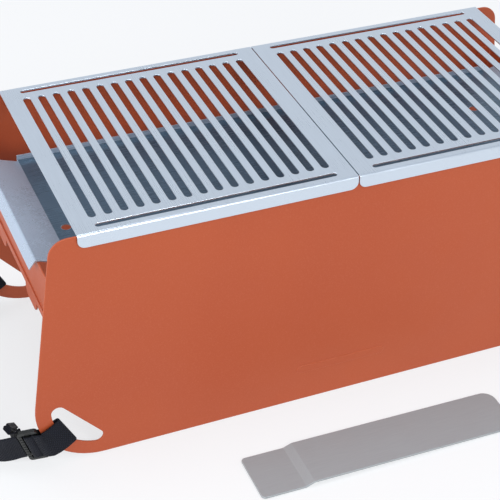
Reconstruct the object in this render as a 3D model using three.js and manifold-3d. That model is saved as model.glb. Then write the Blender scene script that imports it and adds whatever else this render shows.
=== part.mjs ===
// A table-top hibachi grill: two painted sheet-steel panels held apart by two painted end rails,
// a shallow steel charcoal tray hooked over the rails, two slotted steel grates, a webbing carry
// strap looped through the left-hand panel corners, and a loose steel lifter lying in front.
// Millimetres, +Z up, X along the grill, -Y towards the cook. The origin is on the table, under the
// middle of the grill and its lifter taken together.

import * as THREE from 'three';
import { mergeVertices } from 'three/addons/utils/BufferGeometryUtils.js';
import Module from 'manifold-3d';

const wasm = await Module();
wasm.setup();

// Driving dimensions.

const HEIGHT = 244; // table to the grates' upper face
const FIT_GAP = 0.3; // between pieces that rest on each other

const GRATE = {
  length: 251, depth: 245, sheet: 1.5, flange: 13, insideRadius: 1, corner: 7, middleGap: 1,
};
const BAR_SLOT = { count: 16, pitch: 14, width: 7, length: 202, firstX: 21.4 };
const EDGE_SLOT = { length: 216.5, width: 5, y: 112.6, x: 125.3 };

const PANEL = { sheet: 1.5, outerY: 120.5, topHalf: 274.4, bottomHalf: 304.9, topCorner: 17, foot: 61 };
const STRAP_SLOT = { bar: 14, chord: 25.4, end: 6.5 };
const PLATE = { width: 90, height: 8, proud: 0.5, x: -3, z: 37 };

const RAIL = { outerX: 276, sheet: 1.5, top: 196.7, height: 51, flange: 15, insideRadius: 1.5 };
const HEM = { height: 7.5, proud: 1.5 };
const TAB = { length: 34, drop: 16, corner: 8, centreY: 50, lap: 1 };

const TRAY = {
  sheet: 1, floorTop: 189, foldX: 247, bendX: 277.5, bendTop: 199.1, lipX: 283.2, lipZ: 190.8,
  insideRadius: 1, flapHalf: 83, rimY: 85, rimTop: 194.5, rimHalf: 248, rimLap: 4,
};
const VENTS = { diameter: 9, places: [[-236, -32], [200, 21]] };

const LIFTER = {
  left: -127, right: 130, width: 52, centreY: -202.7, sheet: 2, tab: 42, joggle: 8, rise: 3.5,
  bladeCorner: 12, tabCorner: 4, insideRadius: 2,
};

// The carry strap. At each panel a loop of webbing crosses the bar outside the slot, at barAngle
// round the foot, and heads off at slope. Past the corner it wraps the first bar of a buckle,
// which points inward by toeIn and downward by dip and leans outward at the top.

const WEB = { width: 32, thick: 1.6, hemThick: 6.4 };
const LOOP = {
  barAngle: THREE.MathUtils.degToRad(213.5),
  slope: THREE.MathUtils.degToRad(208),
  slotTurn: -11.3, // from the middle of the bar to the turn inside the slot
  corner: 8.3, // from the middle of the bar to just past the panel's edge
  slack: 1.2, // how far each ply stands off there, past its own clearance
  barSlack: 0.6,
};
const BUCKLE = {
  x: -291.5, out: 118.8, z: 27.7, // middle of its near end, out from the grill's middle plane
  toeIn: THREE.MathUtils.degToRad(20),
  dip: THREE.MathUtils.degToRad(14),
  lean: THREE.MathUtils.degToRad(12),
  length: 18, width: 41, thick: 4, bar: 3.4, barThick: 2, window: 35, corner: 3, windowCorner: 0.8,
};
const MIDDLE_LEAN = THREE.MathUtils.degToRad(4);

// The strap's middle line between its two buckles: the front half, which the rear mirrors.
const STRAP_FRONT_HALF = [
  [-309.2, -112.4, 23.0],
  [-314.8, -110.3, 21.4],
  [-321.0, -107.7, 19.0],
  [-328.2, -104.0, 17.0],
  [-337.8, -98.0, 16.6],
  [-348.2, -87.4, 16.6],
  [-357.4, -73.6, 16.6],
  [-364.9, -57.2, 16.6],
  [-370.3, -39.0, 16.6],
  [-373.6, -19.8, 16.6],
];
const STRAP_MIDDLE = [-374.7, 0, 16.6];

// Its free end past each buckle: a middle point [x, out, z], the way its width points and whether
// it is single or hemmed there.
const TAIL_STAND_OFF = 4.3; // from the buckle's middle plane to the webbing behind it
const TAIL = [
  { point: [-306.8, 105.3, 26.2], across: [-0.32, 0, 0.95], thick: WEB.thick },
  { point: [-310.4, 101.4, 29.0], across: [-0.32, 0.25, 0.91], thick: WEB.thick },
  { point: [-312.6, 100.0, 31.5], across: [-0.32, 0.62, 0.71], thick: WEB.hemThick },
  { point: [-316.0, 94.5, 35.3], across: [-0.32, 0.74, 0.59], thick: WEB.hemThick },
];

// Materials.

function metal(color, roughness) {
  return new THREE.MeshStandardMaterial({ color, roughness, metalness: 1 });
}

function plain(color, roughness) {
  return new THREE.MeshStandardMaterial({ color, roughness, metalness: 0 });
}

const PAINT = plain(0xb85d40, 0.55);
const STAINLESS = metal(0xc8d2dc, 0.35);
const DARK_STAINLESS = metal(0x8d9aa5, 0.4);
const WEBBING = plain(0x15171f, 0.9);
const PLASTIC = plain(0x18191c, 0.4);

// Directions that a flat outline can be pushed in: its own x, its own y and the push.

const X = new THREE.Vector3(1, 0, 0);
const Y = new THREE.Vector3(0, 1, 0);
const Z = new THREE.Vector3(0, 0, 1);
const ALONG_X = new THREE.Matrix4().makeBasis(Y, Z, X);
const ALONG_Y = new THREE.Matrix4().makeBasis(X, Z, Y.clone().negate());
const ALONG_Z = new THREE.Matrix4();

// A solid made by pushing an outline from one distance to another along a direction.
function pushed(shapes, basis, from, to, curveSegments = 4) {
  const geometry = new THREE.ExtrudeGeometry(shapes, {
    depth: to - from, bevelEnabled: false, curveSegments,
  });
  geometry.translate(0, 0, from);
  geometry.applyMatrix4(basis);
  return geometry;
}

function toSolid(geometry) {
  const bare = geometry.clone();
  bare.deleteAttribute('normal');
  bare.deleteAttribute('uv');
  const merged = mergeVertices(bare);
  const mesh = new wasm.Mesh({
    numProp: 3,
    vertProperties: new Float32Array(merged.attributes.position.array),
    triVerts: new Uint32Array(merged.index.array),
  });
  return new wasm.Manifold(mesh);
}

function toGeometry(solid) {
  const mesh = solid.getMesh();
  const geometry = new THREE.BufferGeometry();
  geometry.setAttribute('position', new THREE.BufferAttribute(mesh.vertProperties, 3));
  geometry.setIndex(new THREE.BufferAttribute(mesh.triVerts, 1));
  geometry.computeVertexNormals();
  return geometry;
}

// An outline through corners [x, y, radius], each rounded to its radius.
function roundedOutline(corners, Outline = THREE.Shape) {
  const outline = new Outline();
  corners.forEach(([x, y, radius], i) => {
    const here = new THREE.Vector2(x, y);
    const before = new THREE.Vector2(...corners.at(i - 1).slice(0, 2)).sub(here).normalize();
    const next = corners[(i + 1) % corners.length].slice(0, 2);
    const after = new THREE.Vector2(...next).sub(here).normalize();
    if (!radius) {
      if (i === 0) outline.moveTo(x, y);
      else outline.lineTo(x, y);
      return;
    }
    const half = Math.acos(before.dot(after)) / 2;
    const start = here.clone().addScaledVector(before, radius / Math.tan(half));
    const middle = before.clone().add(after).normalize();
    const centre = here.clone().addScaledVector(middle, radius / Math.sin(half));
    const end = here.clone().addScaledVector(after, radius / Math.tan(half));
    if (i === 0) outline.moveTo(start.x, start.y);
    else outline.lineTo(start.x, start.y);
    const from = start.sub(centre).angle();
    const to = end.sub(centre).angle();
    outline.absarc(centre.x, centre.y, radius, from, to, before.cross(after) > 0);
  });
  outline.closePath();
  return outline;
}

// The edge-on outline of a sheet whose middle follows points, with rounded bends.
function bentSheet(points, thickness, insideRadius, steps = 4) {
  const left = [];
  const right = [];
  const path = points.map((p) => new THREE.Vector2(...p));
  const direction = (i) => path[i + 1].clone().sub(path[i]).normalize();
  const leftOf = (v) => new THREE.Vector2(-v.y, v.x);
  const put = (point, normal) => {
    left.push(point.clone().addScaledVector(normal, thickness / 2));
    right.push(point.clone().addScaledVector(normal, -thickness / 2));
  };
  const radius = insideRadius + thickness / 2;
  put(path[0], leftOf(direction(0)));
  for (let i = 1; i < path.length - 1; i++) {
    const before = direction(i - 1);
    const after = direction(i);
    const turn = Math.atan2(before.cross(after), before.dot(after));
    const side = Math.sign(turn);
    const reach = radius * Math.tan(Math.abs(turn) / 2);
    const normal = leftOf(before);
    const start = path[i].clone().addScaledVector(before, -reach);
    const centre = start.addScaledVector(normal, side * radius);
    for (let k = 0; k <= steps; k++) {
      const turned = normal.clone().rotateAround(new THREE.Vector2(), (turn * k) / steps);
      put(centre.clone().addScaledVector(turned, -side * radius), turned);
    }
  }
  put(path.at(-1), leftOf(direction(path.length - 2)));
  return new THREE.Shape([...right, ...left.reverse()]);
}

// A slot with round ends, from one point to another.
function roundEndedSlot([x0, y0], [x1, y1], width, Outline = THREE.Shape) {
  const slot = new Outline();
  const angle = Math.atan2(y1 - y0, x1 - x0);
  const radius = width / 2;
  const quarter = Math.PI / 2;
  const inset = new THREE.Vector2(Math.cos(angle), Math.sin(angle)).multiplyScalar(radius);
  slot.absarc(x1 - inset.x, y1 - inset.y, radius, angle - quarter, angle + quarter, false);
  slot.absarc(x0 + inset.x, y0 + inset.y, radius, angle + quarter, angle + 3 * quarter, false);
  slot.closePath();
  return slot;
}

// Side panels.

const FLARE = (PANEL.bottomHalf - PANEL.topHalf) / (HEIGHT - GRATE.sheet - FIT_GAP);
const FLARE_LENGTH = Math.hypot(1, FLARE);
// The big rounded foot of each panel end is an arc about this point, on the right-hand side.
const FOOT_X = PANEL.bottomHalf - FLARE * PANEL.foot - PANEL.foot * FLARE_LENGTH;
const FOOT_AXIS = Math.atan2(-PANEL.foot, PANEL.bottomHalf - FOOT_X);

// The strap slot: a slice of a disc concentric with the foot's arc, with rounded ends.
function strapSlot(side) {
  const slot = new THREE.Path();
  const outer = PANEL.foot - STRAP_SLOT.bar;
  const { end, chord } = STRAP_SLOT;
  const endU = chord + end;
  const endV = Math.sqrt((outer - end) ** 2 - endU ** 2);
  const spread = Math.atan2(endV, endU);
  const axis = side > 0 ? FOOT_AXIS : Math.PI - FOOT_AXIS;
  const centreX = side * FOOT_X;
  const place = (u, v) => [
    centreX + u * Math.cos(axis) - v * Math.sin(axis),
    PANEL.foot + u * Math.sin(axis) + v * Math.cos(axis),
  ];
  slot.absarc(centreX, PANEL.foot, outer, axis - spread, axis + spread, false);
  slot.absarc(...place(endU, endV), end, axis + spread, axis + Math.PI, false);
  slot.absarc(...place(endU, -endV), end, axis + Math.PI, axis + 2 * Math.PI - spread, false);
  slot.closePath();
  return slot;
}

function panelOutline() {
  const top = HEIGHT - GRATE.sheet - FIT_GAP;
  const outline = roundedOutline([
    [-PANEL.bottomHalf, 0, PANEL.foot],
    [PANEL.bottomHalf, 0, PANEL.foot],
    [PANEL.topHalf, top, PANEL.topCorner],
    [-PANEL.topHalf, top, PANEL.topCorner],
  ]);
  outline.holes.push(strapSlot(-1), strapSlot(1));
  return outline;
}

function frontPanel() {
  const sheet = pushed(panelOutline(), ALONG_Y, PANEL.outerY - PANEL.sheet, PANEL.outerY, 8);
  const half = PLATE.width / 2;
  const bar = roundEndedSlot([PLATE.x - half, PLATE.z], [PLATE.x + half, PLATE.z], PLATE.height);
  const raised = pushed(bar, ALONG_Y, PANEL.outerY - PANEL.sheet / 2, PANEL.outerY + PLATE.proud, 5);
  return toGeometry(toSolid(sheet).add(toSolid(raised)));
}

function rearPanel() {
  return pushed(panelOutline(), ALONG_Y, -PANEL.outerY, PANEL.sheet - PANEL.outerY, 8);
}

// End rails: a web with its ends bent along the panels, a hem along the foot, and two lower tabs.

function endRail(side) {
  const middleX = RAIL.outerX - RAIL.sheet / 2;
  const endY = PANEL.outerY - PANEL.sheet - FIT_GAP - RAIL.sheet / 2;
  const innerX = middleX - RAIL.flange;
  const plan = bentSheet(
    [[innerX, -endY], [middleX, -endY], [middleX, endY], [innerX, endY]],
    RAIL.sheet,
    RAIL.insideRadius,
  );
  const bottom = RAIL.top - RAIL.height;
  const webHalf = endY - RAIL.flange / 2;
  const hem = new THREE.BoxGeometry(HEM.proud + RAIL.sheet / 2, 2 * webHalf, HEM.height);
  hem.translate(middleX + RAIL.sheet / 4 + HEM.proud / 2, 0, bottom + HEM.height / 2);
  let solid = toSolid(pushed(plan, ALONG_Z, bottom, RAIL.top)).add(toSolid(hem));
  for (const end of [-1, 1]) {
    const y = end * TAB.centreY;
    const outline = roundedOutline([
      [y - TAB.length / 2, bottom - TAB.drop, TAB.corner],
      [y + TAB.length / 2, bottom - TAB.drop, TAB.corner],
      [y + TAB.length / 2, bottom + TAB.lap, 0],
      [y - TAB.length / 2, bottom + TAB.lap, 0],
    ]);
    solid = solid.add(toSolid(pushed(outline, ALONG_X, RAIL.outerX - RAIL.sheet, RAIL.outerX)));
  }
  const geometry = toGeometry(solid);
  if (side < 0) geometry.rotateZ(Math.PI);
  return geometry;
}

// Charcoal tray: a floor with low rims along its sides and a flap and hooked lip at each end.

function charcoalTray() {
  const middleZ = TRAY.floorTop - TRAY.sheet / 2;
  const bendZ = TRAY.bendTop - TRAY.sheet / 2;
  const { foldX, bendX, lipX, lipZ, flapHalf, rimY, rimTop, rimHalf, rimLap, sheet, insideRadius } = TRAY;
  const lengthwise = bentSheet(
    [[-lipX, lipZ], [-bendX, bendZ], [-foldX, middleZ], [foldX, middleZ], [bendX, bendZ], [lipX, lipZ]],
    sheet,
    insideRadius,
  );
  let solid = toSolid(pushed(lengthwise, ALONG_Y, -flapHalf, flapHalf));
  for (const side of [-1, 1]) {
    const rim = bentSheet(
      [[side * (rimY - rimLap), middleZ], [side * rimY, middleZ], [side * rimY, rimTop]],
      sheet,
      insideRadius,
    );
    solid = solid.add(toSolid(pushed(rim, ALONG_X, -rimHalf, rimHalf)));
  }
  const vents = VENTS.places.map(([x, y]) => {
    const hole = new THREE.Shape();
    return hole.absarc(x, y, VENTS.diameter / 2, 0, 2 * Math.PI);
  });
  return toGeometry(solid.subtract(toSolid(pushed(vents, ALONG_Z, middleZ - sheet, middleZ + sheet, 8))));
}

// Grates: slotted sheet with its long edges bent down over the panels.

function grate(side) {
  const middleY = (GRATE.depth - GRATE.sheet) / 2;
  const middleZ = HEIGHT - GRATE.sheet / 2;
  const lowZ = HEIGHT - GRATE.flange;
  const section = bentSheet(
    [[-middleY, lowZ], [-middleY, middleZ], [middleY, middleZ], [middleY, lowZ]],
    GRATE.sheet,
    GRATE.insideRadius,
    5,
  );
  const nearX = GRATE.middleGap / 2;
  const farX = nearX + GRATE.length;
  const face = roundedOutline([
    [nearX, lowZ, GRATE.corner],
    [farX, lowZ, GRATE.corner],
    [farX, HEIGHT + 1, 0],
    [nearX, HEIGHT + 1, 0],
  ]);
  const slots = [];
  for (let i = 0; i < BAR_SLOT.count; i++) {
    const x = BAR_SLOT.firstX + i * BAR_SLOT.pitch;
    slots.push(roundEndedSlot([x, -BAR_SLOT.length / 2], [x, BAR_SLOT.length / 2], BAR_SLOT.width));
  }
  for (const y of [-EDGE_SLOT.y, EDGE_SLOT.y]) {
    const half = EDGE_SLOT.length / 2;
    slots.push(roundEndedSlot([EDGE_SLOT.x - half, y], [EDGE_SLOT.x + half, y], EDGE_SLOT.width));
  }
  const bent = toSolid(pushed(section, ALONG_X, nearX, farX));
  const mask = toSolid(pushed(face, ALONG_Y, -GRATE.depth, GRATE.depth, 4));
  const cuts = toSolid(pushed(slots, ALONG_Z, HEIGHT - 4, HEIGHT + 2, 3));
  const geometry = toGeometry(bent.intersect(mask).subtract(cuts));
  if (side < 0) geometry.rotateZ(Math.PI);
  return geometry;
}

// Carry strap. side is -1 at the front panel and 1 at the rear one, and out is measured from the
// plane midway between them.

function point(side, x, out, z) {
  return new THREE.Vector3(x, side * out, z);
}

// A flat frame: the way the webbing runs, the way its width points and the normal to both.
function flatFrame(origin, along, across) {
  return { origin, along, across, normal: new THREE.Vector3().crossVectors(along, across) };
}

function panelFrame(side) {
  const { barAngle, slope } = LOOP;
  const radius = PANEL.foot - STRAP_SLOT.bar / 2;
  const x = -FOOT_X + radius * Math.cos(barAngle);
  const z = PANEL.foot + radius * Math.sin(barAngle);
  const along = new THREE.Vector3(Math.cos(slope), 0, Math.sin(slope));
  const across = new THREE.Vector3(Math.sin(slope), 0, -Math.cos(slope));
  return flatFrame(point(side, x, PANEL.outerY - PANEL.sheet / 2, z), along, across);
}

function buckleFrame(side) {
  const { x, out, z, toeIn, dip, lean } = BUCKLE;
  const level = point(side, -Math.cos(toeIn), -Math.sin(toeIn), 0);
  const outward = point(side, -Math.sin(toeIn), Math.cos(toeIn), 0);
  const along = level.clone().multiplyScalar(Math.cos(dip)).addScaledVector(Z, -Math.sin(dip));
  const upright = level.clone().multiplyScalar(Math.sin(dip)).addScaledVector(Z, Math.cos(dip));
  const across = upright.multiplyScalar(Math.cos(lean)).addScaledVector(outward, Math.sin(lean));
  return flatFrame(point(side, x, out, z), along, across);
}

// A band of webbing through stations, each with a middle point, a width direction and a thickness.
function band(stations, closed) {
  const count = stations.length;
  const wrap = (i) => (closed ? (i + count) % count : THREE.MathUtils.clamp(i, 0, count - 1));
  const positions = [];
  stations.forEach(({ middle, across, thick }, i) => {
    const along = stations[wrap(i + 1)].middle.clone().sub(stations[wrap(i - 1)].middle).normalize();
    const normal = new THREE.Vector3().crossVectors(along, across).normalize();
    const wide = new THREE.Vector3().crossVectors(normal, along);
    for (const [w, n] of [[-1, -1], [1, -1], [1, 1], [-1, 1]]) {
      const corner = middle.clone().addScaledVector(wide, (w * WEB.width) / 2);
      positions.push(...corner.addScaledVector(normal, (n * thick) / 2).toArray());
    }
  });
  const indices = [];
  for (let i = 0; i < (closed ? count : count - 1); i++) {
    for (let k = 0; k < 4; k++) {
      const [a, b] = [4 * i + k, 4 * i + ((k + 1) % 4)];
      const [c, d] = [4 * wrap(i + 1) + ((k + 1) % 4), 4 * wrap(i + 1) + k];
      indices.push(a, b, c, a, c, d);
    }
  }
  if (!closed) {
    const last = 4 * (count - 1);
    indices.push(0, 3, 2, 0, 2, 1, last, last + 1, last + 2, last, last + 2, last + 3);
  }
  const geometry = new THREE.BufferGeometry();
  geometry.setAttribute('position', new THREE.Float32BufferAttribute(positions, 3));
  geometry.setIndex(indices);
  geometry.computeVertexNormals();
  return geometry;
}

// A loop round the bar of the panel's slot and the buckle's first bar.
function strapLoop(side) {
  const stations = [];
  const put = (frame, u, n) => {
    const middle = frame.origin.clone().addScaledVector(frame.along, u).addScaledVector(frame.normal, n);
    stations.push({ middle, across: frame.across, thick: WEB.thick });
  };
  const halfTurn = (frame, centre, radius, from) => {
    for (let k = 0; k <= 4; k++) {
      const angle = from + (k * Math.PI) / 4;
      put(frame, centre + radius * Math.cos(angle), radius * Math.sin(angle));
    }
  };
  const panel = panelFrame(side);
  const panelRadius = PANEL.sheet / 2 + FIT_GAP + WEB.thick / 2;
  const barRadius = BUCKLE.barThick / 2 + FIT_GAP + WEB.thick / 2 + LOOP.barSlack;
  halfTurn(panel, LOOP.slotTurn, panelRadius, Math.PI / 2);
  put(panel, LOOP.corner, -panelRadius - LOOP.slack);
  halfTurn(buckleFrame(side), BUCKLE.bar - BUCKLE.barThick / 4, barRadius, -Math.PI / 2);
  put(panel, LOOP.corner, panelRadius + LOOP.slack);
  return band(stations, true);
}

// The buckle is a moulded frame with two windows. Its first bar is thinner than the frame.
function strapBuckle(side) {
  const { length, width, thick, bar, barThick, window, corner, windowCorner } = BUCKLE;
  const rounded = (x0, x1, half, radius, Outline) => roundedOutline([
    [x0, -half, radius],
    [x1, -half, radius],
    [x1, half, radius],
    [x0, half, radius],
  ], Outline);
  const outline = rounded(0, length, width / 2, corner, THREE.Shape);
  const opening = (length - 3 * bar) / 2;
  for (const x0 of [bar, 2 * bar + opening]) {
    outline.holes.push(rounded(x0, x0 + opening, window / 2, windowCorner, THREE.Path));
  }
  let solid = toSolid(pushed(outline, ALONG_Z, -thick / 2, thick / 2, 2));
  for (const face of [-1, 1]) {
    const relief = new THREE.BoxGeometry(2 * bar, window, thick);
    relief.translate(0, 0, (face * (thick + barThick)) / 2);
    solid = solid.subtract(toSolid(relief));
  }
  const geometry = toGeometry(solid);
  const { origin, along, across, normal } = buckleFrame(side);
  geometry.applyMatrix4(new THREE.Matrix4().makeBasis(along, across, normal).setPosition(origin));
  return geometry;
}

// The webbing's free end: along the buckle's inner face, then up and inward to a thick hem.
function strapTail(side) {
  const { origin, along, across, normal } = buckleFrame(side);
  const inward = -side * TAIL_STAND_OFF;
  const stations = [0.4, 0.7].map((part) => {
    const middle = origin.clone().addScaledVector(along, part * BUCKLE.length);
    return { middle: middle.addScaledVector(normal, inward), across, thick: WEB.thick };
  });
  for (const station of TAIL) {
    const middle = point(side, ...station.point);
    stations.push({ middle, across: point(side, ...station.across), thick: station.thick });
  }
  return band(stations, false);
}

// The strap stands on edge, leaning outward most at its ends.
function carryStrap() {
  const rearHalf = STRAP_FRONT_HALF.map(([x, y, z]) => [x, -y, z]).reverse();
  const route = [...STRAP_FRONT_HALF, STRAP_MIDDLE, ...rearHalf].map((p) => new THREE.Vector3(...p));
  const curve = new THREE.CatmullRomCurve3(route, false, 'centripetal');
  const steps = 40;
  const stations = [];
  for (let i = 0; i <= steps; i++) {
    const t = i / steps;
    const outward = new THREE.Vector3().crossVectors(Z, curve.getTangentAt(t)).normalize();
    const lean = THREE.MathUtils.lerp(MIDDLE_LEAN, BUCKLE.lean, Math.abs(2 * t - 1));
    const across = Z.clone().multiplyScalar(Math.cos(lean)).addScaledVector(outward, Math.sin(lean));
    stations.push({ middle: curve.getPointAt(t), across, thick: WEB.thick });
  }
  return band(stations, false);
}

// Lifter: a flat blade with a stepped tab at one end, which fits the grates' edge slots.

function grateLifter() {
  const { left, right, sheet, tab, joggle, rise, width, bladeCorner, tabCorner, insideRadius } = LIFTER;
  const low = sheet / 2;
  const high = low + rise;
  const side = bentSheet(
    [[0, low], [tab, low], [tab + joggle, high], [right - left, high]],
    sheet,
    insideRadius,
    3,
  );
  const face = roundedOutline([
    [0, -width / 2, tabCorner],
    [right - left, -width / 2, bladeCorner],
    [right - left, width / 2, bladeCorner],
    [0, width / 2, tabCorner],
  ]);
  const blade = toSolid(pushed(side, ALONG_Y, -width, width));
  return toGeometry(blade.intersect(toSolid(pushed(face, ALONG_Z, -sheet, 2 * (sheet + rise)))));
}

// Assembly.

const grill = new THREE.Group();
grill.position.y = -(GRATE.depth / 2 + LIFTER.centreY - LIFTER.width / 2) / 2;

function place(name, geometry, material) {
  const mesh = new THREE.Mesh(geometry, material);
  mesh.name = name;
  grill.add(mesh);
  return mesh;
}

place('front_panel', frontPanel(), PAINT);
place('rear_panel', rearPanel(), PAINT);
place('left_end_rail', endRail(-1), PAINT);
place('right_end_rail', endRail(1), PAINT);
place('charcoal_tray', charcoalTray(), DARK_STAINLESS);
place('left_grate', grate(-1), STAINLESS);
place('right_grate', grate(1), STAINLESS);

for (const [name, side] of [['front', -1], ['rear', 1]]) {
  place(`${name}_strap_loop`, strapLoop(side), WEBBING);
  place(`${name}_strap_buckle`, strapBuckle(side), PLASTIC);
  place(`${name}_strap_tail`, strapTail(side), WEBBING);
}
place('carry_strap', carryStrap(), WEBBING);

const lifter = place('grate_lifter', grateLifter(), STAINLESS);
// It rests on the foot of its step and on the blade's far end.
const lifterTilt = Math.atan2(LIFTER.rise, LIFTER.right - LIFTER.left - LIFTER.tab);
lifter.rotation.y = lifterTilt;
lifter.position.set(LIFTER.left, LIFTER.centreY, LIFTER.tab * Math.sin(lifterTilt));

const part = new THREE.Group();
part.add(grill);

export default part;
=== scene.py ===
import math

import bmesh
import bpy
from mathutils import Matrix, Vector


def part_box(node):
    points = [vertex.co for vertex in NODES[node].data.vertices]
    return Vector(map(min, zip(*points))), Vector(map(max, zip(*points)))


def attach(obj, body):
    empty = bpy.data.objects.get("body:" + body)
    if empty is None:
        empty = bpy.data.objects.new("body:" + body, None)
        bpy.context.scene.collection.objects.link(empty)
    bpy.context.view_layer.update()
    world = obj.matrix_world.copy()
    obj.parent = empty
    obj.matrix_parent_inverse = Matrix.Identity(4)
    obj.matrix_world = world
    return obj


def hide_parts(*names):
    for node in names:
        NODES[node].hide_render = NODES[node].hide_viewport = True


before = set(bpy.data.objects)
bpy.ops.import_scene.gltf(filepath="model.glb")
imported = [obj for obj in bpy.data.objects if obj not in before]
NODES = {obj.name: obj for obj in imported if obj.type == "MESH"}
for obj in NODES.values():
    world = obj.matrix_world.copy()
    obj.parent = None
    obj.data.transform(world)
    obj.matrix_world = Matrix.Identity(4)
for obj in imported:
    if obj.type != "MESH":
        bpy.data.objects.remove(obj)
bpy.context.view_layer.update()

RAIL_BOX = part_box("left_end_rail")
MIDDLE_Y = (RAIL_BOX[0][1] + RAIL_BOX[1][1]) / 2  # the plane midway between the two panels
Z = Vector((0, 0, 1))


# Camera.

CAMERA_PLACE = (-0.5050, -0.9911, 0.9352)
CAMERA_YAW = 0.413706
CAMERA_PITCH = 0.636390
CAMERA_ROLL = 0.032824
CAMERA_LENS = 105.52
CAMERA_SENSOR = 36


def make_camera():
    aim = Vector((
        math.sin(CAMERA_YAW) * math.cos(CAMERA_PITCH),
        math.cos(CAMERA_YAW) * math.cos(CAMERA_PITCH),
        -math.sin(CAMERA_PITCH),
    ))
    level = Vector((math.cos(CAMERA_YAW), -math.sin(CAMERA_YAW), 0))
    rise = level.cross(aim)
    right = level * math.cos(CAMERA_ROLL) + rise * math.sin(CAMERA_ROLL)
    up = rise * math.cos(CAMERA_ROLL) - level * math.sin(CAMERA_ROLL)
    data = bpy.data.cameras.new("camera")
    data.lens = CAMERA_LENS
    data.sensor_width = CAMERA_SENSOR
    data.clip_start = 0.01
    data.clip_end = 50
    camera = bpy.data.objects.new("camera", data)
    bpy.context.scene.collection.objects.link(camera)
    turn = Matrix((right, up, -aim)).transposed().to_4x4()
    camera.matrix_world = Matrix.Translation(CAMERA_PLACE) @ turn
    bpy.context.scene.camera = camera


# Materials.

def linear(red, green, blue):
    """A colour given from 0 to 255, as the shaders take it."""
    def one(value):
        value /= 255
        return value / 12.92 if value <= 0.04045 else ((value + 0.055) / 1.055) ** 2.4
    return (one(red), one(green), one(blue), 1)


def add(tree, kind, values=None, links=None, **settings):
    """A shader node with set values and links on its inputs and settings of its own."""
    made = tree.nodes.new(kind)
    for key, value in settings.items():
        setattr(made, key, value)
    for key, value in (values or {}).items():
        made.inputs[key].default_value = value
    for key, source in (links or {}).items():
        tree.links.new(source, made.inputs[key])
    return made


def new_material(name, **shader):
    material = bpy.data.materials.new(name)
    material.use_nodes = True
    tree = material.node_tree
    tree.nodes.clear()
    bsdf = add(tree, "ShaderNodeBsdfPrincipled", shader)
    add(tree, "ShaderNodeOutputMaterial", links={"Surface": bsdf.outputs["BSDF"]})
    return material, tree, bsdf


def scaled(tree, scale):
    """The place on the object, in metres, times scale along each axis."""
    place = add(tree, "ShaderNodeTexCoord").outputs["Object"]
    return add(tree, "ShaderNodeMapping", {"Scale": scale}, {"Vector": place}).outputs["Vector"]


def noise(tree, vector, scale, detail=2, roughness=0.5):
    values = {"Scale": scale, "Detail": detail, "Roughness": roughness}
    return add(tree, "ShaderNodeTexNoise", values, {"Vector": vector}).outputs["Fac"]


def spread(tree, source, low, high, start=0.3, end=0.7):
    """source's values from start to end, spread out from low to high."""
    values = {"From Min": start, "From Max": end, "To Min": low, "To Max": high}
    return add(tree, "ShaderNodeMapRange", values, {"Value": source}).outputs["Result"]


def math_node(tree, operation, first, second=None):
    made = add(tree, "ShaderNodeMath", operation=operation)
    for socket, value in zip(made.inputs, (first, second)):
        if isinstance(value, (int, float)):
            socket.default_value = value
        elif value is not None:
            tree.links.new(value, socket)
    return made.outputs[0]


def mixed(tree, factor, first, second):
    made = add(tree, "ShaderNodeMix", data_type="RGBA")
    tree.links.new(factor, made.inputs[0])
    for socket, value in ((made.inputs[6], first), (made.inputs[7], second)):
        if isinstance(value, tuple):
            socket.default_value = value
        else:
            tree.links.new(value, socket)
    return made.outputs[2]


def bump(tree, height, strength, distance, normal=None):
    links = {"Height": height}
    if normal is not None:
        links["Normal"] = normal
    values = {"Strength": strength, "Distance": distance}
    return add(tree, "ShaderNodeBump", values, links).outputs["Normal"]


def edge_mask(tree, radius):
    """Close to 1 along sharp edges and 0 on flat faces."""
    soft = add(tree, "ShaderNodeBevel", {"Radius": radius}, samples=4).outputs["Normal"]
    flat = add(tree, "ShaderNodeNewGeometry").outputs["Normal"]
    dot = add(tree, "ShaderNodeVectorMath", operation="DOT_PRODUCT")
    tree.links.new(soft, dot.inputs[0])
    tree.links.new(flat, dot.inputs[1])
    return spread(tree, dot.outputs["Value"], 1, 0, 0.75, 0.99)


def powder_coat():
    """Terracotta paint with a fine orange peel, paler specks and a painted highlight that lightens its
    sharp edges in patches.
    """
    material, tree, bsdf = new_material(
        "powder_coat", **{"Specular IOR Level": 0.3, "Coat Weight": 0.04, "Coat Roughness": 0.35}
    )
    place = scaled(tree, (1, 1, 1))
    cloud = spread(tree, noise(tree, place, 5, 3), 0, 1)
    colour = mixed(tree, cloud, linear(172, 76, 42), linear(178, 82, 46))
    speck = spread(tree, noise(tree, place, 900, 1), 0, 0.35, 0.52, 0.75)
    colour = mixed(tree, speck, colour, linear(186, 98, 66))
    # Painted highlight: the paint turns paler along its sharp edges, in noisy patches.
    patches = spread(tree, noise(tree, place, 120, 3), 0, 0.55)
    painted_edge_highlight = math_node(tree, "MULTIPLY", edge_mask(tree, 0.0012), patches)
    tree.links.new(mixed(tree, painted_edge_highlight, colour, linear(205, 125, 95)), bsdf.inputs["Base Color"])
    tree.links.new(spread(tree, noise(tree, place, 40, 4), 0.4, 0.52), bsdf.inputs["Roughness"])
    peel = bump(tree, noise(tree, place, 700, 2), 0.16, 0.0002)
    tree.links.new(bump(tree, noise(tree, place, 14, 1), 0.05, 0.002, peel), bsdf.inputs["Normal"])
    return material


TRAY_FOLD_X = 0.247  # from the tray's middle to the folds where its end flaps rise
TRAY_RIM_Y = 0.0845  # and to its side rims


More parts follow.
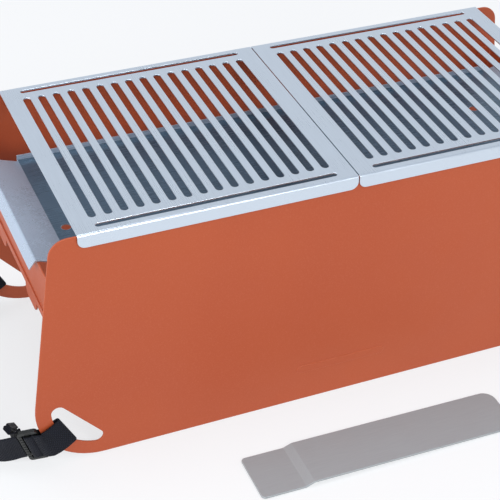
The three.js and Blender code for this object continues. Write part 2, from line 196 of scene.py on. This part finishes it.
def brushed_steel(name, dark, light, grain, smooth, rough, bend=0.1, metallic=1, floor=None):
    """Sheet steel whose brush marks are drawn out along the axis where grain is small.

    floor is a deeper pair of tones for the sheet between a tray's end folds and side rims: painted
    shade under the grates.
    """
    material, tree, bsdf = new_material(name, Metallic=metallic)
    marks = noise(tree, scaled(tree, grain), 1, 4, 0.65)
    place = scaled(tree, (1, 1, 1))
    colour = mixed(tree, spread(tree, marks, 0, 1, 0.25, 0.75), dark, light)
    # Painted shade: the tray's floor between its end folds and side rims takes the deeper tones.
    if floor:
        parts = add(tree, "ShaderNodeSeparateXYZ", links={"Vector": place})
        out = math_node(tree, "SUBTRACT", parts.outputs["Y"], MIDDLE_Y)
        limits = [
            math_node(tree, "LESS_THAN", math_node(tree, "ABSOLUTE", distance), limit)
            for distance, limit in ((parts.outputs["X"], TRAY_FOLD_X), (out, TRAY_RIM_Y))
        ]
        inside = math_node(tree, "MULTIPLY", *limits)
        painted_shade_tones = mixed(tree, spread(tree, marks, 0, 1, 0.25, 0.75), *floor)
        colour = mixed(tree, inside, colour, painted_shade_tones)
    # Painted highlight: the steel is lightened towards near white along its sharp edges.
    painted_edge_highlight = math_node(tree, "MULTIPLY", edge_mask(tree, 0.001), 0.5)
    tree.links.new(mixed(tree, painted_edge_highlight, colour, linear(236, 243, 250)), bsdf.inputs["Base Color"])
    smudge = spread(tree, noise(tree, place, 22, 3, 0.6), smooth, rough, 0.35, 0.65)
    streak = spread(tree, marks, -0.05, 0.05)
    tree.links.new(math_node(tree, "ADD", smudge, streak), bsdf.inputs["Roughness"])
    scratch = bump(tree, marks, 0.05, 0.0001)
    tree.links.new(bump(tree, noise(tree, place, 9, 1), bend, 0.002, scratch), bsdf.inputs["Normal"])
    return material


WEAVE_COLUMNS = 20  # across the webbing's width
WEAVE_PICKS = 13  # in a length equal to its width


def woven(name, dark, light):
    """Webbing, woven in columns 1.6 mm wide whose picks step by half from one to the next."""
    material, tree, bsdf = new_material(
        name, **{"Sheen Weight": 0.05, "Sheen Roughness": 0.4, "Specular IOR Level": 0.16}
    )
    place = add(tree, "ShaderNodeTexCoord").outputs["UV"]
    parts = add(tree, "ShaderNodeSeparateXYZ", links={"Vector": place})
    columns = math_node(tree, "MULTIPLY", parts.outputs["X"], WEAVE_COLUMNS)
    picks = math_node(tree, "MULTIPLY", parts.outputs["Y"], WEAVE_PICKS)
    step = math_node(tree, "MULTIPLY", math_node(tree, "FLOOR", columns), 0.5)
    picks = math_node(tree, "ADD", picks, step)
    heights = []
    for turns in (columns, picks):
        wave = math_node(tree, "SINE", math_node(tree, "MULTIPLY", turns, math.pi))
        heights.append(math_node(tree, "ABSOLUTE", wave))
    height = math_node(tree, "MULTIPLY", *heights)
    object_place = scaled(tree, (1, 1, 1))
    fuzz = noise(tree, object_place, 2500, 2)
    fibres = bump(tree, fuzz, 0.3, 0.0001)
    # Painted shade: the weave's hollows are darker and its raised yarns lighter.
    colour = mixed(tree, spread(tree, height, 0, 1, 0.15, 0.9), dark, light)
    tone = spread(tree, noise(tree, object_place, 60, 2), 0, 0.4)
    tree.links.new(mixed(tree, tone, colour, light), bsdf.inputs["Base Color"])
    tree.links.new(spread(tree, fuzz, 0.62, 0.82), bsdf.inputs["Roughness"])
    tree.links.new(bump(tree, height, 0.9, 0.00035, fibres), bsdf.inputs["Normal"])
    return material


def moulded_plastic():
    material, tree, bsdf = new_material("moulded_plastic", **{"Specular IOR Level": 0.5})
    place = scaled(tree, (1, 1, 1))
    tone = spread(tree, noise(tree, place, 150, 3), 0, 1)
    colour = mixed(tree, tone, linear(13, 15, 15), linear(21, 24, 23))
    # Painted highlight: the plastic is lightened along its sharp edges.
    painted_edge_highlight = math_node(tree, "MULTIPLY", edge_mask(tree, 0.0008), 0.35)
    tree.links.new(mixed(tree, painted_edge_highlight, colour, linear(66, 71, 70)), bsdf.inputs["Base Color"])
    tree.links.new(spread(tree, noise(tree, place, 300, 2), 0.3, 0.46), bsdf.inputs["Roughness"])
    tree.links.new(bump(tree, noise(tree, place, 1800, 2), 0.2, 0.0001), bsdf.inputs["Normal"])
    return material


# Sheet-metal pieces: the CAD's own shapes with their cut edges broken.

WELD = 1e-5
FLAT_ANGLE = 0.6  # in degrees: faces closer than this become one
SHARP_ANGLE = 32
PANEL_EDGE = 0.0004
GRATE_EDGE = 0.0003
TRAY_EDGE = 0.0002
LIFTER_EDGE = 0.0004
BUCKLE_EDGE = 0.0006


def add_piece(name, mesh, body, material):
    piece = bpy.data.objects.new(name, mesh)
    bpy.context.scene.collection.objects.link(piece)
    mesh.materials.clear()
    mesh.materials.append(material)
    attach(piece, body)
    return piece


def smooth_shaded(mesh, angle):
    for face in mesh.polygons:
        face.use_smooth = True
    mesh.set_sharp_from_angle(angle=math.radians(angle))


def broken_edges(piece, width, segments=2):
    bevel = piece.modifiers.new("broken_edges", "BEVEL")
    bevel.width = width
    bevel.segments = segments
    bevel.limit_method = "ANGLE"
    bevel.angle_limit = math.radians(SHARP_ANGLE)
    weighted = piece.modifiers.new("flat_faces", "WEIGHTED_NORMAL")
    weighted.keep_sharp = True


def finished(node, name, body, material, edge):
    """A CAD node's shape as a clean mesh with its edges rounded to edge."""
    mesh = bpy.data.meshes.new(name)
    shape = bmesh.new()
    shape.from_mesh(NODES[node].data)
    bmesh.ops.remove_doubles(shape, verts=shape.verts, dist=WELD)
    bmesh.ops.dissolve_limit(
        shape, angle_limit=math.radians(FLAT_ANGLE), verts=shape.verts, edges=shape.edges
    )
    shape.to_mesh(mesh)
    shape.free()
    piece = add_piece(name, mesh, body, material)
    smooth_shaded(mesh, SHARP_ANGLE)
    broken_edges(piece, edge)
    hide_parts(node)
    return piece


# Carry strap. side is -1 at the front panel and 1 at the rear one, and out is measured from the
# plane midway between them. Lengths are in metres.

WEB_WIDTH = 0.032
WEB_THICK = 0.0016
SELVEDGE = 0.0008
WEB_COLUMNS = 12
EDGE_COLUMNS = (0.12, 0.45, 1)  # extra ones, as parts of the selvedge's width
THINNEST_EDGE = 0.02
FIT_GAP = 0.0003
PANEL_OUT = 0.1205
PANEL_SHEET = 0.0015
PANEL_FOOT = 0.061
FOOT_X = 0.235736
SLOT_BAR = 0.014
LOOP_BAR_ANGLE = math.radians(213.5)
LOOP_SLOPE = math.radians(208)
LOOP_SLOT_TURN = -0.0113
LOOP_CORNER = 0.0083
LOOP_SLACK = 0.0012
LOOP_BAR_SLACK = 0.0006
BUCKLE_PLACE = (-0.2915, 0.1188, 0.0277)
BUCKLE_TOE_IN = math.radians(20)
BUCKLE_DIP = math.radians(14)
BUCKLE_LEAN = math.radians(12)
BUCKLE_LENGTH = 0.018
BUCKLE_THICK = 0.004
BUCKLE_BAR = 0.0034
BUCKLE_BAR_THICK = 0.002
MIDDLE_LEAN = math.radians(4)
STRAP_FRONT_HALF = [
    (-0.3092, -0.1124, 0.0230),
    (-0.3148, -0.1103, 0.0214),
    (-0.3210, -0.1077, 0.0190),
    (-0.3282, -0.1040, 0.0170),
    (-0.3378, -0.0980, 0.0166),
    (-0.3482, -0.0874, 0.0166),
    (-0.3574, -0.0736, 0.0166),
    (-0.3649, -0.0572, 0.0166),
    (-0.3703, -0.0390, 0.0166),
    (-0.3736, -0.0198, 0.0166),
]
STRAP_MIDDLE = (-0.3747, 0, 0.0166)
TAIL_STAND_OFF = 0.0043  # from the buckle's middle plane to the webbing behind it
TAIL_ON_BUCKLE = (0.4, 0.7)  # where it lies along the buckle, as parts of its length
TAIL = [
    ((-0.3068, 0.1053, 0.0262), (-0.32, 0, 0.95)),
    ((-0.3104, 0.1014, 0.0290), (-0.32, 0.25, 0.91)),
    ((-0.3126, 0.1000, 0.0315), (-0.32, 0.62, 0.71)),
    ((-0.3160, 0.0945, 0.0353), (-0.32, 0.74, 0.59)),
]
HEM_PLIES = 4
STRAP_STEPS = 12
STRAP_STATIONS = 141


def direction(side, x, out, z):
    return Vector((x, side * out, z))


def point(side, x, out, z):
    return Vector((x, MIDDLE_Y + side * out, z))


def panel_frame(side):
    """Origin, the way the webbing runs, the way its width points and the normal to both."""
    radius = PANEL_FOOT - SLOT_BAR / 2
    x = -FOOT_X + radius * math.cos(LOOP_BAR_ANGLE)
    z = PANEL_FOOT + radius * math.sin(LOOP_BAR_ANGLE)
    along = Vector((math.cos(LOOP_SLOPE), 0, math.sin(LOOP_SLOPE)))
    across = Vector((math.sin(LOOP_SLOPE), 0, -math.cos(LOOP_SLOPE)))
    return point(side, x, PANEL_OUT - PANEL_SHEET / 2, z), along, across, along.cross(across)


def buckle_frame(side):
    level = direction(side, -math.cos(BUCKLE_TOE_IN), -math.sin(BUCKLE_TOE_IN), 0)
    outward = direction(side, -math.sin(BUCKLE_TOE_IN), math.cos(BUCKLE_TOE_IN), 0)
    along = level * math.cos(BUCKLE_DIP) - Z * math.sin(BUCKLE_DIP)
    upright = level * math.sin(BUCKLE_DIP) + Z * math.cos(BUCKLE_DIP)
    across = upright * math.cos(BUCKLE_LEAN) + outward * math.sin(BUCKLE_LEAN)
    return point(side, *BUCKLE_PLACE), along, across, along.cross(across)


def curve_through(points, steps, closed=False):
    """Centripetal Catmull-Rom points, steps to each span, with the span position of each."""
    count = len(points)
    made = []
    for i in range(count if closed else count - 1):
        second, third = points[i], points[(i + 1) % count]
        first = points[i - 1] if closed or i > 0 else 2 * second - third
        fourth = points[(i + 2) % count] if closed or i + 2 < count else 2 * third - second
        before, here, after = (
            math.sqrt((b - a).length) for a, b in ((first, second), (second, third), (third, fourth))
        )
        leave = (second - first) / before - (third - first) / (before + here) + (third - second) / here
        reach = (third - second) / here - (fourth - second) / (here + after) + (fourth - third) / after
        leave, reach = leave * here, reach * here
        for k in range(steps):
            t = k / steps
            square, cube = t * t, t * t * t
            made.append((
                (2 * cube - 3 * square + 1) * second + (cube - 2 * square + t) * leave
                + (3 * square - 2 * cube) * third + (cube - square) * reach,
                i + t,
            ))
    if not closed:
        made.append((points[-1], count - 1))
    return made


def even_steps(points, count):
    """count points at even distances along a line of points."""
    marks = [0]
    for a, b in zip(points, points[1:]):
        marks.append(marks[-1] + (b - a).length)
    made = []
    at = 0
    for k in range(count):
        target = marks[-1] * k / (count - 1)
        while at < len(points) - 2 and marks[at + 1] < target:
            at += 1
        part = (target - marks[at]) / (marks[at + 1] - marks[at])
        made.append(points[at].lerp(points[at + 1], part))
    return made


def web_section():
    """Half of the webbing's section: places across it and the half thickness at each."""
    places = [-1 + 2 * i / WEB_COLUMNS for i in range(WEB_COLUMNS + 1)]
    edge = 2 * SELVEDGE / WEB_WIDTH
    places = sorted(set(places + [s * (1 - edge * k) for s in (-1, 1) for k in EDGE_COLUMNS]))
    section = []
    for place in places:
        inside = max(0, (abs(place) - (1 - edge)) / edge)
        fullness = math.sqrt(max(THINNEST_EDGE, 1 - inside ** 2))
        section.append((place * WEB_WIDTH / 2, WEB_THICK / 2 * fullness))
    return section


def webbing(name, stations, material, closed=False):
    """A woven band through stations, each a middle point and the way its width points."""
    half = web_section()
    ring = half + [(place, -height) for place, height in reversed(half)]
    shape = bmesh.new()
    layer = shape.loops.layers.uv.new("weave")
    count = len(stations)
    rows = []
    marks = []
    travelled = 0
    for i, (middle, across) in enumerate(stations):
        after = stations[(i + 1) % count if closed else min(i + 1, count - 1)][0]
        before = stations[i - 1 if closed else max(i - 1, 0)][0]
        along = (after - before).normalized()
        normal = along.cross(across).normalized()
        wide = normal.cross(along)
        rows.append([shape.verts.new(middle + wide * place + normal * rise) for place, rise in ring])
        if i:
            travelled += (middle - stations[i - 1][0]).length
        marks.append(travelled)
    marks.append(travelled + (stations[0][0] - stations[-1][0]).length)
    for i in range(count if closed else count - 1):
        for k in range(len(ring)):
            j = (k + 1) % len(ring)
            row = rows[(i + 1) % count]
            face = shape.faces.new((rows[i][k], rows[i][j], row[j], row[k]))
            coordinates = ((k, i), (j, i), (j, i + 1), (k, i + 1))
            for loop, (at, step) in zip(face.loops, coordinates):
                loop[layer].uv = ((ring[at][0] + WEB_WIDTH / 2) / WEB_WIDTH, marks[step] / WEB_WIDTH)
    if not closed:
        shape.faces.new(list(reversed(rows[0])))
        shape.faces.new(rows[-1])
    bmesh.ops.recalc_face_normals(shape, faces=shape.faces)
    mesh = bpy.data.meshes.new(name)
    shape.to_mesh(mesh)
    shape.free()
    smooth_shaded(mesh, 50)
    return add_piece(name, mesh, "frame", material)


def interpolated(directions, at):
    low = int(at) % len(directions)
    high = min(low + 1, len(directions) - 1) if at < len(directions) - 1 else 0
    return directions[low].lerp(directions[high], at - int(at)).normalized()


def strap_stations():
    half = [Vector((x, MIDDLE_Y + y, z)) for x, y, z in STRAP_FRONT_HALF]
    middle = Vector((STRAP_MIDDLE[0], MIDDLE_Y + STRAP_MIDDLE[1], STRAP_MIDDLE[2]))
    rear = [Vector((p.x, 2 * MIDDLE_Y - p.y, p.z)) for p in reversed(half)]
    route = [p for p, _ in curve_through(half + [middle] + rear, STRAP_STEPS)]
    route = even_steps(route, STRAP_STATIONS)
    stations = []
    for i, place in enumerate(route):
        ahead = route[min(i + 1, len(route) - 1)] - route[max(i - 1, 0)]
        outward = Z.cross(ahead).normalized()
        edge = abs(2 * i / (len(route) - 1) - 1)
        lean = MIDDLE_LEAN + (BUCKLE_LEAN - MIDDLE_LEAN) * edge
        stations.append((place, Z * math.cos(lean) + outward * math.sin(lean)))
    return stations


def loop_stations(side):
    places = []
    widths = []

    def put(origin, along, across, normal, u, n):
        places.append(origin + along * u + normal * n)
        widths.append(across)

    def half_turn(axes, centre, radius, start):
        for k in range(5):
            angle = start + k * math.pi / 4
            put(*axes, centre + radius * math.cos(angle), radius * math.sin(angle))

    panel = panel_frame(side)
    panel_radius = PANEL_SHEET / 2 + FIT_GAP + WEB_THICK / 2
    bar_radius = BUCKLE_BAR_THICK / 2 + FIT_GAP + WEB_THICK / 2 + LOOP_BAR_SLACK
    half_turn(panel, LOOP_SLOT_TURN, panel_radius, math.pi / 2)
    put(*panel, LOOP_CORNER, -panel_radius - LOOP_SLACK)
    half_turn(buckle_frame(side), BUCKLE_BAR - BUCKLE_BAR_THICK / 4, bar_radius, -math.pi / 2)
    put(*panel, LOOP_CORNER, panel_radius + LOOP_SLACK)
    made = curve_through(places, 4, closed=True)
    return [(place, interpolated(widths, at)) for place, at in made]


# The webbing's way through a buckle, from its tail to the strap: along the buckle and out from
# its middle plane, towards the outer face. It then runs WRAP_END of the way to the strap.
BUCKLE_WRAP = [
    (0.0074, -0.0043), (0.0060, -0.0036), (0.0053, -0.0020), (0.0052, 0.0004), (0.0056, 0.0024),
    (0.0071, 0.0032), (0.0090, 0.0033), (0.0109, 0.0032), (0.0124, 0.0024), (0.0128, 0.0004),
    (0.0130, -0.0014), (0.0142, -0.0027), (0.0158, -0.0031), (0.0180, -0.0029),
]
WRAP_END = 0.65


def wrap_stations(side):
    origin, along, across, normal = buckle_frame(side)
    places = [origin + along * u + normal * side * n for u, n in BUCKLE_WRAP]
    first = strap_stations()[0 if side < 0 else -1]
    places.append(places[-1].lerp(first[0], WRAP_END))
    return [(place, across) for place, _ in curve_through(places, 3)]


def tail_stations(side):
    """Along the buckle's inner face, then up to a hem folded over three times."""
    origin, along, across, normal = buckle_frame(side)
    route = [
        origin + along * part * BUCKLE_LENGTH - normal * side * TAIL_STAND_OFF
        for part in TAIL_ON_BUCKLE
    ]
    widths = [across, across]
    for place, width in TAIL[:2]:
        route.append(point(side, *place))
        widths.append(direction(side, *width))
    start, end = (point(side, *place) for place, _ in TAIL[2:])
    wide = (direction(side, *TAIL[2][1]) + direction(side, *TAIL[3][1])).normalized()
    run = (end - start).normalized()
    rise = run.cross(wide).normalized()
    first_ply = -(HEM_PLIES - 1) / 2 * WEB_THICK
    route.append(start + rise * first_ply)
    widths.append(wide)
    stations = [(p, interpolated(widths, at)) for p, at in curve_through(route, 5)]
    for ply in range(HEM_PLIES):
        offset = first_ply + ply * WEB_THICK
        near, far = (start, end) if ply % 2 == 0 else (end, start)
        ahead = run if ply % 2 == 0 else -run
        if ply:
            stations.append((near + rise * offset, wide))
        stations.append((far + rise * offset - ahead * WEB_THICK, wide))
        if ply < HEM_PLIES - 1:
            centre = far + rise * (offset + WEB_THICK / 2) - ahead * WEB_THICK
            for k in range(1, 4):
                angle = -math.pi / 2 + k * math.pi / 4
                turn = ahead * math.cos(angle) + rise * math.sin(angle)
                stations.append((centre + turn * WEB_THICK / 2, wide))
    return stations, (start, end, wide, run, rise)


STITCH_LENGTH = 0.0024
STITCH_THICK = 0.00055
STITCH_PITCH = 0.0033
STITCHES = 9
STITCH_ROW_OUT = 0.0017  # from the middle of the hem to each row


def stitches(name, hem, material):
    """Two rows of thread across each face of a hem."""
    start, end, wide, run, rise = hem
    middle = (start + end) / 2 - run * WEB_THICK / 2
    mesh = bpy.data.meshes.new(name)
    shape = bmesh.new()
    for face in (-1, 1):
        for row in (-1, 1):
            for k in range(STITCHES):
                place = middle + run * row * STITCH_ROW_OUT + rise * face * (HEM_PLIES * WEB_THICK / 2)
                place = place + wide * (k - (STITCHES - 1) / 2) * STITCH_PITCH
                size = Matrix.Diagonal((STITCH_LENGTH / 2, STITCH_THICK / 2, STITCH_THICK / 2, 1))
                turn = Matrix((wide, run, wide.cross(run))).transposed().to_4x4()
                bmesh.ops.create_uvsphere(
                    shape, u_segments=8, v_segments=6, radius=1,
                    matrix=Matrix.Translation(place) @ turn @ size,
                )
    shape.to_mesh(mesh)
    shape.free()
    smooth_shaded(mesh, 80)
    return add_piece(name, mesh, "frame", material)


GRIP_RIDGES = 9
GRIP_PITCH = 0.0038
GRIP_SIZE = (BUCKLE_BAR * 0.8, 0.0016, 0.0010)
GRIP_EDGE = 0.00035


def buckle_grips(name, side, material):
    """Short moulded ridges along the far bar of a buckle, on its outer face."""
    origin, along, across, normal = buckle_frame(side)
    mesh = bpy.data.meshes.new(name)
    shape = bmesh.new()
    turn = Matrix((along, across, normal)).transposed().to_4x4()
    size = Matrix.Diagonal((*GRIP_SIZE, 1))
    for k in range(GRIP_RIDGES):
        place = origin + along * (BUCKLE_LENGTH - BUCKLE_BAR / 2)
        place = place + across * (k - (GRIP_RIDGES - 1) / 2) * GRIP_PITCH
        place = place + normal * side * BUCKLE_THICK / 2
        bmesh.ops.create_cube(shape, size=1, matrix=Matrix.Translation(place) @ turn @ size)
    shape.to_mesh(mesh)
    shape.free()
    piece = add_piece(name, mesh, "frame", material)
    smooth_shaded(mesh, SHARP_ANGLE)
    broken_edges(piece, GRIP_EDGE, 3)
    return piece


def carry_strap(web, thread, plastic):
    on_it = []
    for name, side in (("front", -1), ("rear", 1)):
        loop = webbing(f"{name}_loop_webbing", loop_stations(side), web, closed=True)
        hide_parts(f"{name}_strap_loop")
        stations, hem = tail_stations(side)
        tail = webbing(f"{name}_tail_webbing", stations, web)
        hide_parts(f"{name}_strap_tail")
        wrap = webbing(f"{name}_buckle_webbing", wrap_stations(side), web)
        sewn = stitches(f"{name}_tail_stitches", hem, thread)
        buckle = finished(
            f"{name}_strap_buckle", f"{name}_buckle", "frame", plastic, BUCKLE_EDGE
        )
        grips = buckle_grips(f"{name}_buckle_grips", side, plastic)
        on_it += [loop, tail, wrap, sewn, buckle, grips]
    stations = strap_stations()
    strap = webbing("carry_strap_webbing", stations, web)
    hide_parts("carry_strap")


# Room.

FLOOR_REACH = 8
FLOOR_DROP = 0.0004


def backdrop():
    material, _, _ = new_material(
        "pale_floor",
        **{
            "Base Color": (0.25, 0.253, 0.256, 1),
            "Roughness": 0.9,
            "Specular IOR Level": 0.1,
            "Emission Color": (0.975, 0.985, 1, 1),
            "Emission Strength": 0.69,
        },
    )
    mesh = bpy.data.meshes.new("floor")
    signs = [(-1, -1), (1, -1), (1, 1), (-1, 1)]
    corners = [(x * FLOOR_REACH, y * FLOOR_REACH, 0) for x, y in signs]
    mesh.from_pydata(corners, [], [(0, 1, 2, 3)])
    mesh.materials.append(material)
    floor = bpy.data.objects.new("floor", mesh)
    floor.location.z = -FLOOR_DROP
    bpy.context.scene.collection.objects.link(floor)


def area_light(name, place, target, size, power, colour=(1, 1, 1)):
    data = bpy.data.lights.new(name, "AREA")
    data.shape = "DISK"
    data.size = size
    data.energy = power
    data.color = colour
    light = bpy.data.objects.new(name, data)
    light.location = place
    light.rotation_mode = "QUATERNION"
    light.rotation_quaternion = (Vector(target) - Vector(place)).to_track_quat("-Z", "Y")
    bpy.context.scene.collection.objects.link(light)


def studio():
    world = bpy.data.worlds.new("studio")
    world.use_nodes = True
    tree = world.node_tree
    tree.nodes.clear()
    place = add(tree, "ShaderNodeTexCoord").outputs["Generated"]
    parts = add(tree, "ShaderNodeSeparateXYZ", links={"Vector": place})
    height = spread(tree, parts.outputs["Z"], 0, 1, 0, 1)
    colour = mixed(tree, height, (0.97, 0.98, 1, 1), (0.62, 0.65, 0.7, 1))
    back = add(tree, "ShaderNodeBackground", {"Strength": 0.95}, {"Color": colour})
    add(tree, "ShaderNodeOutputWorld", links={"Surface": back.outputs["Background"]})
    bpy.context.scene.world = world
    area_light("key", (0.05, -1.25, 1.0), (0, -0.07, 0.17), 0.5, 7)
    area_light("side", (-1.9, -0.3, 0.9), (-0.1, -0.05, 0.1), 0.8, 15)
    area_light("top", (-0.3, 0.2, 2.2), (0, 0.05, 0.2), 1.0, 10, (0.93, 0.96, 1))
    bpy.context.scene.view_settings.view_transform = "Standard"


def grill():
    paint = powder_coat()
    grate_steel = brushed_steel(
        "grate_steel", linear(205, 216, 228), linear(215, 226, 238), (2200, 30, 2200), 0.28, 0.36
    )
    # The tray's floor tones given below are painted shade, darker than its flaps.
    tray_steel = brushed_steel(
        "tray_steel", linear(168, 182, 200), linear(184, 198, 215), (30, 1800, 1800), 0.24, 0.34,
        metallic=0.3, floor=(linear(78, 102, 122), linear(92, 116, 136)),
    )
    lifter_steel = brushed_steel(
        "lifter_steel", linear(146, 152, 155), linear(155, 161, 164), (40, 1800, 1800), 0.42, 0.52,
        bend=0.02, metallic=0.05,
    )
    for node in ("front_panel", "rear_panel", "left_end_rail", "right_end_rail"):
        finished(node, f"{node}_sheet", "frame", paint, PANEL_EDGE)
    for node in ("left_grate", "right_grate"):
        finished(node, f"{node}_sheet", node, grate_steel, GRATE_EDGE)
    for node, slot, material, edge in (
        ("charcoal_tray", "tray_steel", tray_steel, TRAY_EDGE),
        ("grate_lifter", "lifter_steel", lifter_steel, LIFTER_EDGE),
    ):
        finished(node, f"{node}_sheet", node, material, edge)


make_camera()
carry_strap(
    woven("webbing", linear(9, 11, 18), linear(22, 26, 38)),
    woven("thread", linear(12, 14, 22), linear(30, 34, 48)),
    moulded_plastic(),
)
grill()
backdrop()
studio()
